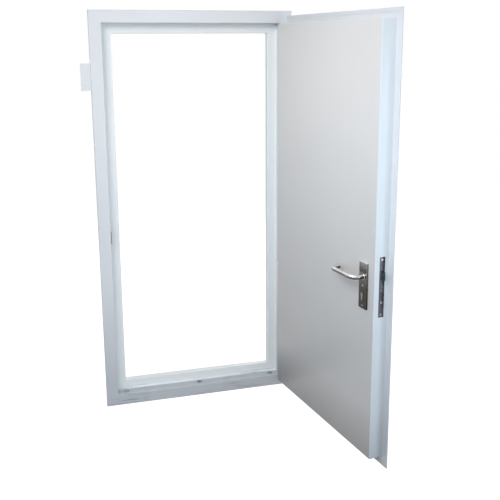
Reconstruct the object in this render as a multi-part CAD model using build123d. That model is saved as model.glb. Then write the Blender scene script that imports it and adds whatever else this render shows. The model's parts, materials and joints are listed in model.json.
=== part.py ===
"""Marine fire door with its frame, shown with the leaf standing open.

The frame stands on its sill. X runs along the wall, Y goes from the opening side
into the doorway, and Z is up. The origin is the middle of the sill's underside.
Everything on the leaf is drawn with the leaf shut and is then swung open.
"""
from build123d import *
import math
import os

# Doorway and frame section
clear_width = 700.0
clear_height = 1600.0
face_width = 54.0
stop_width = 42.0
rebate_depth = 60.0
throat_depth = 30.0
outer_return = 25.0
frame_sheet = 3.0
frame_bend = 4.0

# Leaf
lock_gap = 6.0
hinge_gap = 4.0
end_gap = 4.5
stop_gap = 3.0
leaf_depth = 60.0
leaf_sheet = 2.0
leaf_bend = 3.0
flange_overhang = 36.0
hinge_flange_overhang = 25.0
hem_width = 14.0
hem_edge_radius = 1.2
open_angle = 100.0

# Hinges, which are the lift-off kind with one knuckle on each side
hinge_inset = 20.0
hinge_stand_off = 13.0
knuckle_radius = 8.0
knuckle_length = 50.0
hinge_washer = 2.0
hinge_play = 0.3
hinge_pin_radius = 5.0
hinge_pin_fit = 0.05
hinge_pin_head = 4.0
hinge_pin_head_chamfer = 1.5
wing_plate = 4.0
frame_wing_reach = 9.0
leaf_wing_reach = 66.0
hinge_end_distance = 200.0
backing_plate_width = 60.0
backing_plate_height = 140.0
backing_plate_thickness = 4.0

# Dog pins, which lock the hinge edge into the jamb
dog_pin_radius = 7.0
dog_pin_projection = 11.0
dog_pin_tip = 3.0
dog_pin_collar_radius = 12.0
dog_pin_collar = 5.0
dog_slot_clearance = 1.5
dog_slot_run_in = 8.0

# Lock, measured from the lock edge and from the spindle
lock_plane_depth = 33.0
faceplate_width = 24.0
faceplate_height = 235.0
faceplate_thickness = 3.0
faceplate_below_spindle = 30.5
faceplate_seat_gap = 0.2
faceplate_screw_inset = 10.0
screw_head_radius = 4.5
screw_head_depth = 1.8
screw_shank_radius = 2.2
screw_length = 9.0
backset = 65.0
spindle_height = 730.5
cylinder_pitch = 72.0
case_length = 90.0
case_height = 165.0
case_below_spindle = 106.5
case_thickness = 16.0
case_wall = 1.5
case_seat_gap = 0.5
reinforcement_thickness = 3.0
reinforcement_width = 44.0
reinforcement_height = 320.0

# Latch bolt and dead bolt
bolt_thickness = 12.0
bolt_fit = 0.3
latch_height = 33.0
latch_above_spindle = 14.5
latch_throw = 12.0
latch_head_length = 36.0
latch_nose = 2.5
latch_tail_end = 77.0
latch_tail_bottom = 12.0
latch_tail_height = 14.0
tail_thickness = 4.0
tail_notch_width = 10.4
tail_notch_depth = 10.0
dead_bolt_height = 30.0
dead_bolt_above_cylinder = 40.0
dead_bolt_throw = 20.0
dead_bolt_head_length = 30.0
dead_bolt_tail_end = 64.0
dead_bolt_tail_bottom_gap = 1.5

# Follower, spindle and levers
hub_radius = 10.0
hub_fit = 0.3
follower_arm_reach = 17.5
follower_arm_tip = 3.5
follower_arm_width = 5.0
follower_arm_lean = 20.0
spindle_side = 9.0
spindle_socket = 25.0
lever_radius = 9.5
lever_projection = 55.0
lever_length = 152.0
lever_bend = 30.0
lever_return = 40.0
lever_end_chamfer = 1.5
neck_fit = 0.3

# Profile cylinder
barrel_radius = 8.5
barrel_foot_radius = 5.0
barrel_total_height = 33.0
cylinder_fit = 0.3
cylinder_stand_out = 2.0
plug_radius = 6.5
plug_fit = 0.1
cam_gap = 10.0
cam_thickness = 9.0
cam_radius = 14.5
cam_width = 8.0
cam_hub_radius = 7.5
cylinder_web = 5.0
keyway_width = 2.0
keyway_height = 8.0
keyway_depth = 12.0

# Handle plates
plate_width = 50.0
plate_above_spindle = 57.0
plate_below_spindle = 127.0
plate_thickness = 8.0
plate_edge_radius = 1.5
plate_screw_inset = 12.0
plate_screw_head_radius = 4.0
plate_screw_head_depth = 2.0

# Keeps on the lock jamb
strike_height = 54.0
strike_above_latch = 3.0
strike_depth = 34.0
strike_front_inset = 1.0
strike_thickness = 2.0
strike_hole_clearance = 2.0
keep_box_wall = 1.5
keep_box_depth = 26.0
keep_box_margin = 4.0

# Sill fixings and the lug on the lock jamb
sill_screw_inset = 39.0
sill_screw_depth = 30.0
sill_shank_radius = 4.0
sill_shank_length = 30.0
sill_washer_radius = 14.0
sill_washer_thickness = 1.0
sill_head_radius = 6.5
sill_head_chamfer = 1.2
sill_head_height = 2.5
lug_width = 42.0
lug_height = 115.0
lug_thickness = 7.0
lug_below_head_top = 277.0

# Sizes and places that follow from the ones above
section_width = face_width + stop_width
frame_depth = rebate_depth + throat_depth
frame_width = clear_width + 2 * section_width
frame_height = clear_height + 2 * section_width
rebate_half_width = clear_width / 2 + stop_width
lock_edge = -rebate_half_width + lock_gap
hinge_edge = rebate_half_width - hinge_gap
leaf_bottom = face_width + end_gap
leaf_top = frame_height - face_width - end_gap
leaf_height = leaf_top - leaf_bottom
leaf_middle = (leaf_bottom + leaf_top) / 2
inner_face = rebate_depth - stop_gap
skin_back = inner_face - leaf_depth
outer_face = skin_back - leaf_sheet
lock_plane = inner_face - lock_plane_depth
hinge_x = frame_width / 2 - hinge_inset
hinge_y = -hinge_stand_off
spindle_x = lock_edge + backset
spindle_z = leaf_bottom + spindle_height
cylinder_z = spindle_z - cylinder_pitch
latch_z = spindle_z + latch_above_spindle
dead_bolt_z = cylinder_z + dead_bolt_above_cylinder
faceplate_z = spindle_z - faceplate_below_spindle
case_front = lock_edge + faceplate_thickness
case_bottom = spindle_z - case_below_spindle
plate_bottom = spindle_z - plate_below_spindle
plate_top = spindle_z + plate_above_spindle
plate_screw_heights = (
    plate_bottom + plate_screw_inset,
    (spindle_z + cylinder_z) / 2,
    plate_top - plate_screw_inset,
)
dog_pin_heights = [leaf_bottom + leaf_height * share for share in (1 / 3, 2 / 3)]
dog_pin_y = inner_face - leaf_depth / 2
hinge_heights = {
    "bottom": leaf_bottom + hinge_end_distance,
    "middle": leaf_middle,
    "top": leaf_top - hinge_end_distance,
}
lug_center_height = frame_height - lug_below_head_top
sill_screw_reach = rebate_half_width - sill_screw_inset
sill_screw_places = {"left": -sill_screw_reach, "middle": 0, "right": sill_screw_reach}

LOW = (Align.MIN, Align.MIN, Align.MIN)
swing = Pos(hinge_x, hinge_y, 0) * Rot(0, 0, open_angle) * Pos(-hinge_x, -hinge_y, 0)
stand = Pos(0, -outer_return / 2, 0)


def block(x_from, x_to, y_from, y_to, z_from, z_to):
    """A box between two corners."""
    size = Box(x_to - x_from, y_to - y_from, z_to - z_from, align=LOW)
    return Pos(x_from, y_from, z_from) * size


def rod_along_y(x, z, y_from, y_to, radius):
    """A round rod across the thickness of the leaf."""
    rod = Cylinder(radius, y_to - y_from, align=(Align.CENTER, Align.CENTER, Align.MIN))
    return Pos(x, y_from, z) * Rot(-90, 0, 0) * rod


def rod_along_x(y, z, x_from, x_to, radius):
    """A round rod along the wall."""
    rod = Cylinder(radius, x_to - x_from, align=(Align.CENTER, Align.CENTER, Align.MIN))
    return Pos(x_from, y, z) * Rot(0, 90, 0) * rod


def rod_along_z(x, y, z_from, z_to, radius):
    """An upright round rod."""
    rod = Cylinder(radius, z_to - z_from, align=(Align.CENTER, Align.CENTER, Align.MIN))
    return Pos(x, y, z_from) * rod


# Frame

def frame_section():
    """The folded section: outer return, front face, rebate, stop and throat."""
    path = FilletPolyline(
        (0, outer_return),
        (0, 0),
        (face_width, 0),
        (face_width, rebate_depth),
        (section_width, rebate_depth),
        (section_width, frame_depth),
        radius=frame_bend,
    )
    return make_face(offset(path, frame_sheet, side=Side.LEFT))


def frame_member(length):
    """An upright member with its outer edge on x = 0 and mitred at both ends."""
    bar = extrude(frame_section(), length, dir=(0, 0, 1))
    mitre = Polyline(
        (0, 0, 0),
        (section_width, 0, section_width),
        (section_width, 0, length - section_width),
        (0, 0, length),
        close=True,
    )
    room = extrude(make_face(mitre), frame_depth, dir=(0, 1, 0))
    return bar & room


def strike_pocket(height, center_z, margin):
    """The hole in the lock jamb that a bolt goes into."""
    half_depth = bolt_thickness / 2 + margin
    half_height = height / 2 + margin
    return block(
        -rebate_half_width - frame_sheet, -rebate_half_width,
        lock_plane - half_depth, lock_plane + half_depth,
        center_z - half_height, center_z + half_height,
    )


def frame_lock_jamb():
    jamb = Pos(-frame_width / 2, 0, 0) * frame_member(frame_height)
    jamb -= strike_pocket(latch_height, latch_z, strike_hole_clearance)
    jamb -= strike_pocket(dead_bolt_height, dead_bolt_z, strike_hole_clearance)
    return jamb


def dog_slot(z):
    """A slot in the hinge jamb, longer towards the front for the pin to swing out."""
    radius = dog_pin_radius + dog_slot_clearance
    x_from = rebate_half_width
    x_to = rebate_half_width + frame_sheet
    back_y = dog_pin_y
    front_y = dog_pin_y - dog_slot_run_in
    slot = rod_along_x(back_y, z, x_from, x_to, radius)
    slot += rod_along_x(front_y, z, x_from, x_to, radius)
    slot += block(x_from, x_to, front_y, back_y, z - radius, z + radius)
    return slot


def frame_hinge_jamb():
    jamb = mirror(Pos(-frame_width / 2, 0, 0) * frame_member(frame_height), about=Plane.YZ)
    for z in dog_pin_heights:
        jamb -= dog_slot(z)
    return jamb


def frame_head():
    return Pos(-frame_width / 2, 0, frame_height) * Rot(0, 90, 0) * frame_member(frame_width)


def frame_sill():
    sill = Pos(frame_width / 2, 0, 0) * Rot(0, -90, 0) * frame_member(frame_width)
    for x in sill_screw_places.values():
        y = sill_screw_depth
        sill -= rod_along_z(x, y, face_width - frame_sheet, face_width, sill_shank_radius)
    return sill


def sill_screw(x):
    """A pan head screw on a wide washer, down through the rebate floor."""
    y = sill_screw_depth
    washer_top = face_width + sill_washer_thickness
    screw = rod_along_z(x, y, washer_top, washer_top + sill_head_height, sill_head_radius)
    screw = chamfer(screw.edges().group_by(Axis.Z)[-1], sill_head_chamfer)
    screw += rod_along_z(x, y, face_width - sill_shank_length, washer_top, sill_shank_radius)
    return screw + rod_along_z(x, y, face_width, washer_top, sill_washer_radius)


def fixing_lug():
    x_to = -frame_width / 2
    lug = block(
        x_to - lug_width, x_to,
        0, lug_thickness,
        lug_center_height - lug_height / 2, lug_center_height + lug_height / 2,
    )
    corners = lug.edges().filter_by(Axis.Y).group_by(Axis.X)[0]
    return fillet(corners, frame_bend)


def strike_plate():
    """A plate on the rebate face, with the hole that takes the latch bolt."""
    x_from = -rebate_half_width
    y_from = strike_front_inset
    z_center = latch_z + strike_above_latch
    plate = block(
        x_from, x_from + strike_thickness,
        y_from, y_from + strike_depth,
        z_center - strike_height / 2, z_center + strike_height / 2,
    )
    half_depth = bolt_thickness / 2 + strike_hole_clearance
    half_height = latch_height / 2 + strike_hole_clearance
    plate -= block(
        x_from, x_from + strike_thickness,
        lock_plane - half_depth, lock_plane + half_depth,
        latch_z - half_height, latch_z + half_height,
    )
    return plate


def keep_box(height, center_z):
    """A dust box, welded behind a bolt hole."""
    half_depth = bolt_thickness / 2 + keep_box_margin
    half_height = height / 2 + keep_box_margin
    x_to = -rebate_half_width - frame_sheet
    outside = block(
        x_to - keep_box_depth, x_to,
        lock_plane - half_depth, lock_plane + half_depth,
        center_z - half_height, center_z + half_height,
    )
    inside = block(
        x_to - keep_box_depth + keep_box_wall, x_to,
        lock_plane - half_depth + keep_box_wall, lock_plane + half_depth - keep_box_wall,
        center_z - half_height + keep_box_wall, center_z + half_height - keep_box_wall,
    )
    return outside - inside


# Hinges

def hinge_frame_knuckle(z):
    """The lower knuckle and its wing, welded to the front of the hinge jamb."""
    z_from = z - hinge_washer / 2 - knuckle_length
    z_to = z - hinge_washer / 2
    wing_x_to = frame_width / 2
    knuckle = rod_along_z(hinge_x, hinge_y, z_from, z_to, knuckle_radius)
    knuckle += block(hinge_x - frame_wing_reach, wing_x_to, -wing_plate, 0, z_from, z_to)
    neck_half = knuckle_radius * 0.75
    knuckle += block(hinge_x - neck_half, hinge_x + neck_half, hinge_y, -wing_plate, z_from, z_to)
    return knuckle - rod_along_z(hinge_x, hinge_y, z_from, z_to, hinge_pin_radius)


def hinge_leaf_knuckle(z):
    """The upper knuckle and its wing, welded to the outer skin of the leaf."""
    z_from = z + hinge_washer / 2 + hinge_play
    z_to = z_from + knuckle_length
    knuckle = rod_along_z(hinge_x, hinge_y, z_from, z_to, knuckle_radius)
    knuckle += block(
        hinge_x - leaf_wing_reach, hinge_x,
        outer_face - wing_plate, outer_face,
        z_from, z_to,
    )
    bore = hinge_pin_radius + hinge_pin_fit
    return knuckle - rod_along_z(hinge_x, hinge_y, z_from, z_to, bore)


def hinge_thrust_washer(z):
    z_from = z - hinge_washer / 2
    z_to = z + hinge_washer / 2
    washer = rod_along_z(hinge_x, hinge_y, z_from, z_to, knuckle_radius)
    return washer - rod_along_z(hinge_x, hinge_y, z_from, z_to, hinge_pin_radius)


def hinge_pin(z):
    """The pin stands in the frame knuckle, and a button head closes its top."""
    z_from = z - hinge_washer / 2 - knuckle_length
    z_to = z + hinge_washer / 2 + knuckle_length + 2 * hinge_play
    pin = rod_along_z(hinge_x, hinge_y, z_from, z_to, hinge_pin_radius)
    head = rod_along_z(hinge_x, hinge_y, z_to, z_to + hinge_pin_head, knuckle_radius)
    head = chamfer(head.edges().group_by(Axis.Z)[-1], hinge_pin_head_chamfer)
    return pin + head


def hinge_backing_plate(z):
    """A thick plate behind the outer skin, for the leaf wing's weld."""
    x_to = hinge_edge - leaf_sheet
    return block(
        x_to - backing_plate_width, x_to,
        skin_back, skin_back + backing_plate_thickness,
        z - backing_plate_height / 2, z + backing_plate_height / 2,
    )


# Leaf

def cylinder_outline(clearance, y_from, y_to):
    """The keyhole-shaped bar of a profile cylinder, or the hole for one."""
    radius = barrel_radius + clearance
    foot_radius = barrel_foot_radius + clearance
    foot_z = cylinder_z + barrel_radius - barrel_total_height + barrel_foot_radius
    bar = rod_along_y(spindle_x, cylinder_z, y_from, y_to, radius)
    bar += rod_along_y(spindle_x, foot_z, y_from, y_to, foot_radius)
    bar += block(
        spindle_x - foot_radius, spindle_x + foot_radius,
        y_from, y_to,
        foot_z, cylinder_z,
    )
    return bar


def through_holes(y_from, y_to):
    """The holes for the lever necks and the cylinder, through one side of the leaf."""
    neck = rod_along_y(spindle_x, spindle_z, y_from, y_to, lever_radius + neck_fit)
    return neck + cylinder_outline(cylinder_fit, y_from, y_to)


def faceplate_opening(x_from, x_to, clearance):
    """The slot for the faceplate through the lock edge."""
    half_width = faceplate_width / 2 + clearance
    half_height = faceplate_height / 2 + clearance
    return block(
        x_from, x_to,
        lock_plane - half_width, lock_plane + half_width,
        faceplate_z - half_height, faceplate_z + half_height,
    )


def case_room(x_from, x_to, clearance):
    """The space that the lock case slides into."""
    half = case_thickness / 2 + clearance
    return block(
        x_from, x_to,
        lock_plane - half, lock_plane + half,
        case_bottom - clearance, case_bottom + case_height + clearance,
    )


def leaf_inner_pan():
    """The inner face and the four edges, folded from one sheet."""
    outside = block(lock_edge, hinge_edge, skin_back, inner_face, leaf_bottom, leaf_top)
    outside = fillet(outside.edges().group_by(Axis.Y)[-1], leaf_bend)
    inside = block(
        lock_edge + leaf_sheet, hinge_edge - leaf_sheet,
        skin_back, inner_face - leaf_sheet,
        leaf_bottom + leaf_sheet, leaf_top - leaf_sheet,
    )
    pan = outside - inside
    pan -= faceplate_opening(lock_edge, lock_edge + leaf_sheet, faceplate_seat_gap)
    pan -= through_holes(inner_face - leaf_sheet, inner_face)
    for z in dog_pin_heights:
        pan -= rod_along_x(dog_pin_y, z, hinge_edge - leaf_sheet, hinge_edge, dog_pin_radius)
    return pan


def leaf_outer_skin():
    """The outer face with the flange that laps the frame, hemmed all round."""
    x_from = lock_edge - flange_overhang
    x_to = hinge_edge + hinge_flange_overhang
    z_from = leaf_bottom - flange_overhang
    z_to = leaf_top + flange_overhang
    skin = block(x_from, x_to, outer_face, skin_back, z_from, z_to)
    hem = block(x_from, x_to, skin_back, skin_back + leaf_sheet, z_from, z_to)
    hem -= block(
        x_from + hem_width, x_to - hem_width,
        skin_back, skin_back + leaf_sheet,
        z_from + hem_width, z_to - hem_width,
    )
    skin += hem
    skin = fillet(skin.edges().group_by(Axis.Y)[0], hem_edge_radius)
    return skin - through_holes(outer_face, skin_back)


def dog_pins():
    """Two fixed pins with a collar inside the hinge edge."""
    pins = []
    for z in dog_pin_heights:
        inside_x = hinge_edge - leaf_sheet
        tip_x = hinge_edge + dog_pin_projection
        pin = rod_along_x(dog_pin_y, z, inside_x, tip_x, dog_pin_radius)
        pin = chamfer(pin.edges().group_by(Axis.X)[-1], dog_pin_tip)
        pin += rod_along_x(dog_pin_y, z, inside_x - dog_pin_collar, inside_x, dog_pin_collar_radius)
        pins.append(pin)
    return Compound(pins)


def lock_reinforcement():
    """A strip behind the lock edge that the faceplate screws bite into."""
    x_from = lock_edge + faceplate_thickness
    x_to = x_from + reinforcement_thickness
    strip = block(
        x_from, x_to,
        lock_plane - reinforcement_width / 2, lock_plane + reinforcement_width / 2,
        faceplate_z - reinforcement_height / 2, faceplate_z + reinforcement_height / 2,
    )
    strip -= case_room(x_from, x_to, case_seat_gap)
    for z in faceplate_screw_heights():
        strip -= rod_along_x(lock_plane, z, x_from, x_to, screw_shank_radius)
    return strip


def mineral_wool_core():
    """The fireproof filling, cut away round the lock, the pins and the plates."""
    core = block(
        lock_edge + leaf_sheet, hinge_edge - leaf_sheet,
        skin_back, inner_face - leaf_sheet,
        leaf_bottom + leaf_sheet, leaf_top - leaf_sheet,
    )
    strip_back = lock_edge + faceplate_thickness + reinforcement_thickness
    core -= block(
        lock_edge + leaf_sheet, strip_back,
        lock_plane - reinforcement_width / 2, lock_plane + reinforcement_width / 2,
        faceplate_z - reinforcement_height / 2, faceplate_z + reinforcement_height / 2,
    )
    core -= case_room(strip_back, case_front + case_length + case_seat_gap, case_seat_gap)
    core -= through_holes(skin_back, inner_face - leaf_sheet)
    for z in faceplate_screw_heights():
        core -= rod_along_x(lock_plane, z, strip_back, lock_edge + screw_length, screw_shank_radius)
    for z in dog_pin_heights:
        x_to = hinge_edge - leaf_sheet
        core -= rod_along_x(dog_pin_y, z, x_to - dog_pin_collar, x_to, dog_pin_collar_radius)
    for z in hinge_heights.values():
        core -= hinge_backing_plate(z)
    return core


# Lock

def faceplate_screw_heights():
    reach = faceplate_height / 2 - faceplate_screw_inset
    return [faceplate_z - reach, faceplate_z + reach]


def bolt_opening(x_from, x_to, height, center_z):
    """The slot that guides a bolt."""
    half_depth = bolt_thickness / 2 + bolt_fit
    half_height = height / 2 + bolt_fit
    return block(
        x_from, x_to,
        lock_plane - half_depth, lock_plane + half_depth,
        center_z - half_height, center_z + half_height,
    )


def lock_faceplate():
    x_to = lock_edge + faceplate_thickness
    plate = faceplate_opening(lock_edge, x_to, 0)
    plate -= bolt_opening(lock_edge, x_to, latch_height, latch_z)
    plate -= bolt_opening(lock_edge, x_to, dead_bolt_height, dead_bolt_z)
    for z in faceplate_screw_heights():
        plate -= rod_along_x(lock_plane, z, lock_edge, lock_edge + screw_head_depth, screw_head_radius)
        plate -= rod_along_x(lock_plane, z, lock_edge, x_to, screw_shank_radius)
    return plate


def faceplate_screws():
    screws = []
    for z in faceplate_screw_heights():
        head_x_to = lock_edge + screw_head_depth
        screw = rod_along_x(lock_plane, z, lock_edge, head_x_to, screw_head_radius)
        screw += rod_along_x(lock_plane, z, head_x_to, lock_edge + screw_length, screw_shank_radius)
        screws.append(screw)
    return Compound(screws)


def case_side_holes(y_from, y_to):
    """The hub hole and the cylinder hole through one side of the case."""
    hub = rod_along_y(spindle_x, spindle_z, y_from, y_to, hub_radius + hub_fit)
    return hub + cylinder_outline(cylinder_fit, y_from, y_to)


def lock_case():
    """An open tray, with slots in its front for the bolts."""
    x_to = case_front + case_length
    y_from = lock_plane - case_thickness / 2
    y_to = lock_plane + case_thickness / 2
    z_to = case_bottom + case_height
    tray = block(case_front, x_to, y_from + case_wall, y_to, case_bottom, z_to)
    tray -= block(
        case_front + case_wall, x_to - case_wall,
        y_from + case_wall, y_to - case_wall,
        case_bottom + case_wall, z_to - case_wall,
    )
    tray -= case_side_holes(y_to - case_wall, y_to)
    tray -= bolt_opening(case_front, case_front + case_wall, latch_height, latch_z)
    tray -= bolt_opening(case_front, case_front + case_wall, dead_bolt_height, dead_bolt_z)
    return tray


def lock_case_cover():
    x_to = case_front + case_length
    y_from = lock_plane - case_thickness / 2
    y_to = y_from + case_wall
    cover = block(case_front, x_to, y_from, y_to, case_bottom, case_bottom + case_height)
    return cover - case_side_holes(y_from, y_to)


def latch_bolt():
    """The sprung bolt: a bevelled head, and a tail with a notch for the follower."""
    half = bolt_thickness / 2
    tip_x = lock_edge - latch_throw
    back_x = tip_x + latch_head_length
    outline = Polyline(
        (tip_x, lock_plane - half, 0),
        (tip_x, lock_plane - half + latch_nose, 0),
        (lock_edge - bolt_fit, lock_plane + half, 0),
        (back_x, lock_plane + half, 0),
        (back_x, lock_plane - half, 0),
        close=True,
    )
    head = extrude(make_face(outline), latch_height, dir=(0, 0, 1))
    head = Pos(0, 0, latch_z - latch_height / 2) * head
    tail_bottom = spindle_z + latch_tail_bottom
    tail = block(
        back_x, lock_edge + latch_tail_end,
        lock_plane - tail_thickness / 2, lock_plane + tail_thickness / 2,
        tail_bottom, tail_bottom + latch_tail_height,
    )
    arm_x = spindle_x - follower_arm_reach * math.sin(math.radians(follower_arm_lean))
    tail -= block(
        arm_x - tail_notch_width / 2, arm_x + tail_notch_width / 2,
        lock_plane - tail_thickness / 2, lock_plane + tail_thickness / 2,
        tail_bottom, tail_bottom + tail_notch_depth,
    )
    return head + tail


def dead_bolt():
    """The key-driven bolt, drawn back flush with the faceplate."""
    half = bolt_thickness / 2
    back_x = lock_edge + dead_bolt_head_length
    top_z = dead_bolt_z + dead_bolt_height / 2
    head = block(
        lock_edge, back_x,
        lock_plane - half, lock_plane + half,
        dead_bolt_z - dead_bolt_height / 2, top_z,
    )
    tail = block(
        back_x, lock_edge + dead_bolt_tail_end,
        lock_plane - tail_thickness / 2, lock_plane + tail_thickness / 2,
        cylinder_z + cam_radius + dead_bolt_tail_bottom_gap, top_z,
    )
    return head + tail


def follower():
    """The hub that the spindle turns, with the arm that draws the latch."""
    y_from = lock_plane - case_thickness / 2
    y_to = lock_plane + case_thickness / 2
    hub = rod_along_y(spindle_x, spindle_z, y_from, y_to, hub_radius)
    arm_from = lock_plane - tail_thickness / 2
    arm_to = lock_plane + tail_thickness / 2
    arm = block(
        -follower_arm_width / 2, follower_arm_width / 2,
        arm_from, arm_to,
        0, follower_arm_reach,
    )
    arm += rod_along_y(0, follower_arm_reach, arm_from, arm_to, follower_arm_tip)
    hub += Pos(spindle_x, 0, spindle_z) * Rot(0, -follower_arm_lean, 0) * arm
    half = spindle_side / 2
    return hub - block(
        spindle_x - half, spindle_x + half,
        y_from, y_to,
        spindle_z - half, spindle_z + half,
    )


# Handles

def inner_plate_front():
    return inner_face + plate_thickness


def outer_plate_front():
    return outer_face - plate_thickness


def square_spindle():
    half = spindle_side / 2
    return block(
        spindle_x - half, spindle_x + half,
        outer_face - spindle_socket, inner_face + spindle_socket,
        spindle_z - half, spindle_z + half,
    )


def u_lever(neck_y, side):
    """A bent round bar: neck, grip and a short leg back towards the leaf."""
    face_y = inner_face if side > 0 else outer_face
    grip_y = face_y + side * lever_projection
    end_x = spindle_x + lever_length
    path = FilletPolyline(
        (spindle_x, neck_y, spindle_z),
        (spindle_x, grip_y, spindle_z),
        (end_x, grip_y, spindle_z),
        (end_x, grip_y - side * lever_return, spindle_z),
        radius=lever_bend,
    )
    profile = Plane(origin=path @ 0, z_dir=path % 0) * Circle(lever_radius)
    lever = sweep(profile, path=path)
    end_edge = lever.faces().filter_by(Plane.XZ).sort_by(Axis.X)[-1].edges()
    lever = chamfer(end_edge, lever_end_chamfer)
    return lever - square_spindle()


def lever_inner():
    return u_lever(inner_face - leaf_sheet, 1)


def lever_outer():
    return u_lever(outer_face + leaf_sheet, -1)


def handle_plate(back_y, front_y, head_back_y):
    """A flat plate with its front edges rounded, holed for neck, cylinder and screws."""
    low_y, high_y = sorted((back_y, front_y))
    plate = block(
        spindle_x - plate_width / 2, spindle_x + plate_width / 2,
        low_y, high_y,
        plate_bottom, plate_top,
    )
    front_edges = plate.edges().group_by(Axis.Y)[-1 if front_y > back_y else 0]
    plate = fillet(front_edges, plate_edge_radius)
    plate -= through_holes(low_y, high_y)
    head_low, head_high = sorted((front_y, head_back_y))
    for z in plate_screw_heights:
        plate -= rod_along_y(spindle_x, z, head_low, head_high, plate_screw_head_radius)
    return plate


def plate_screw_heads(front_y, head_back_y):
    """Low screw heads, sunk flush in a handle plate."""
    low_y, high_y = sorted((front_y, head_back_y))
    heads = []
    for z in plate_screw_heights:
        heads.append(rod_along_y(spindle_x, z, low_y, high_y, plate_screw_head_radius))
    return Compound(heads)


def cylinder_body():
    """A double profile cylinder with a gap in its middle for the cam."""
    y_from = outer_plate_front() - cylinder_stand_out
    y_to = inner_plate_front() + cylinder_stand_out
    body = cylinder_outline(0, y_from, y_to)
    body -= rod_along_y(spindle_x, cylinder_z, y_from, y_to, plug_radius + plug_fit)
    foot_z = cylinder_z + barrel_radius - barrel_total_height
    body -= block(
        spindle_x - barrel_radius, spindle_x + barrel_radius,
        lock_plane - cam_gap / 2, lock_plane + cam_gap / 2,
        foot_z + cylinder_web, cylinder_z + barrel_radius,
    )
    return body


def cylinder_plug():
    """The part that the key turns, with the cam in the middle of it."""
    y_from = outer_plate_front() - cylinder_stand_out
    y_to = inner_plate_front() + cylinder_stand_out
    plug = rod_along_y(spindle_x, cylinder_z, y_from, y_to, plug_radius)
    cam_from = lock_plane - cam_thickness / 2
    cam_to = lock_plane + cam_thickness / 2
    plug += rod_along_y(spindle_x, cylinder_z, cam_from, cam_to, cam_hub_radius)
    finger_end = cylinder_z + cam_radius - cam_width / 2
    plug += rod_along_y(spindle_x, finger_end, cam_from, cam_to, cam_width / 2)
    plug += block(
        spindle_x - cam_width / 2, spindle_x + cam_width / 2,
        cam_from, cam_to,
        cylinder_z, finger_end,
    )
    for slot_from, slot_to in ((y_from, y_from + keyway_depth), (y_to - keyway_depth, y_to)):
        plug -= block(
            spindle_x - keyway_width / 2, spindle_x + keyway_width / 2,
            slot_from, slot_to,
            cylinder_z - keyway_height / 2, cylinder_z + keyway_height / 2,
        )
    return plug


def frame_nodes():
    """Every piece that stands still, by name."""
    nodes = {
        "frame_head": frame_head(),
        "frame_sill": frame_sill(),
        "frame_lock_jamb": frame_lock_jamb(),
        "frame_hinge_jamb": frame_hinge_jamb(),
        "fixing_lug": fixing_lug(),
        "strike_plate": strike_plate(),
        "latch_keep_box": keep_box(latch_height, latch_z),
        "dead_bolt_keep_box": keep_box(dead_bolt_height, dead_bolt_z),
    }
    for place, x in sill_screw_places.items():
        nodes[f"{place}_sill_screw"] = sill_screw(x)
    for place, z in hinge_heights.items():
        nodes[f"{place}_hinge_frame_knuckle"] = hinge_frame_knuckle(z)
        nodes[f"{place}_hinge_thrust_washer"] = hinge_thrust_washer(z)
        nodes[f"{place}_hinge_pin"] = hinge_pin(z)
    return nodes


def leaf_nodes():
    """Every piece that swings with the leaf, by name, with the leaf shut."""
    inner_head_back = inner_plate_front() - plate_screw_head_depth
    outer_head_back = outer_plate_front() + plate_screw_head_depth
    nodes = {
        "leaf_inner_pan": leaf_inner_pan(),
        "leaf_outer_skin": leaf_outer_skin(),
        "mineral_wool_core": mineral_wool_core(),
        "lock_reinforcement": lock_reinforcement(),
        "dog_pins": dog_pins(),
        "lock_faceplate": lock_faceplate(),
        "faceplate_screws": faceplate_screws(),
        "lock_case": lock_case(),
        "lock_case_cover": lock_case_cover(),
        "latch_bolt": latch_bolt(),
        "dead_bolt": dead_bolt(),
        "follower": follower(),
        "square_spindle": square_spindle(),
        "lever_inner": lever_inner(),
        "lever_outer": lever_outer(),
        "cylinder_body": cylinder_body(),
        "cylinder_plug": cylinder_plug(),
        "handle_plate_inner": handle_plate(inner_face, inner_plate_front(), inner_head_back),
        "handle_plate_outer": handle_plate(outer_face, outer_plate_front(), outer_head_back),
        "plate_screws_inner": plate_screw_heads(inner_plate_front(), inner_head_back),
        "plate_screws_outer": plate_screw_heads(outer_plate_front(), outer_head_back),
    }
    for place, z in hinge_heights.items():
        nodes[f"{place}_hinge_leaf_knuckle"] = hinge_leaf_knuckle(z)
        nodes[f"{place}_hinge_backing_plate"] = hinge_backing_plate(z)
    return nodes


def main():
    os.makedirs("parts", exist_ok=True)
    for name, shape in frame_nodes().items():
        export_step(stand * shape, f"parts/{name}.step")
    for name, shape in leaf_nodes().items():
        export_step(stand * swing * shape, f"parts/{name}.step")


main()
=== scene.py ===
# %% [markdown]
# # A steel marine fire door, dressed for its portrait
#
# The door comes to Blender as a finished assembly: a folded steel frame, a leaf that
# stands open, its lock, levers and hinges. Nothing is resized here. This script sets the
# camera, gives every surface its finish, adds the small work that a fitter leaves
# behind, such as weld beads and screw drives, and lights the door.

# %% Load the door
import json
import math

import bpy
from mathutils import Matrix, Vector


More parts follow.
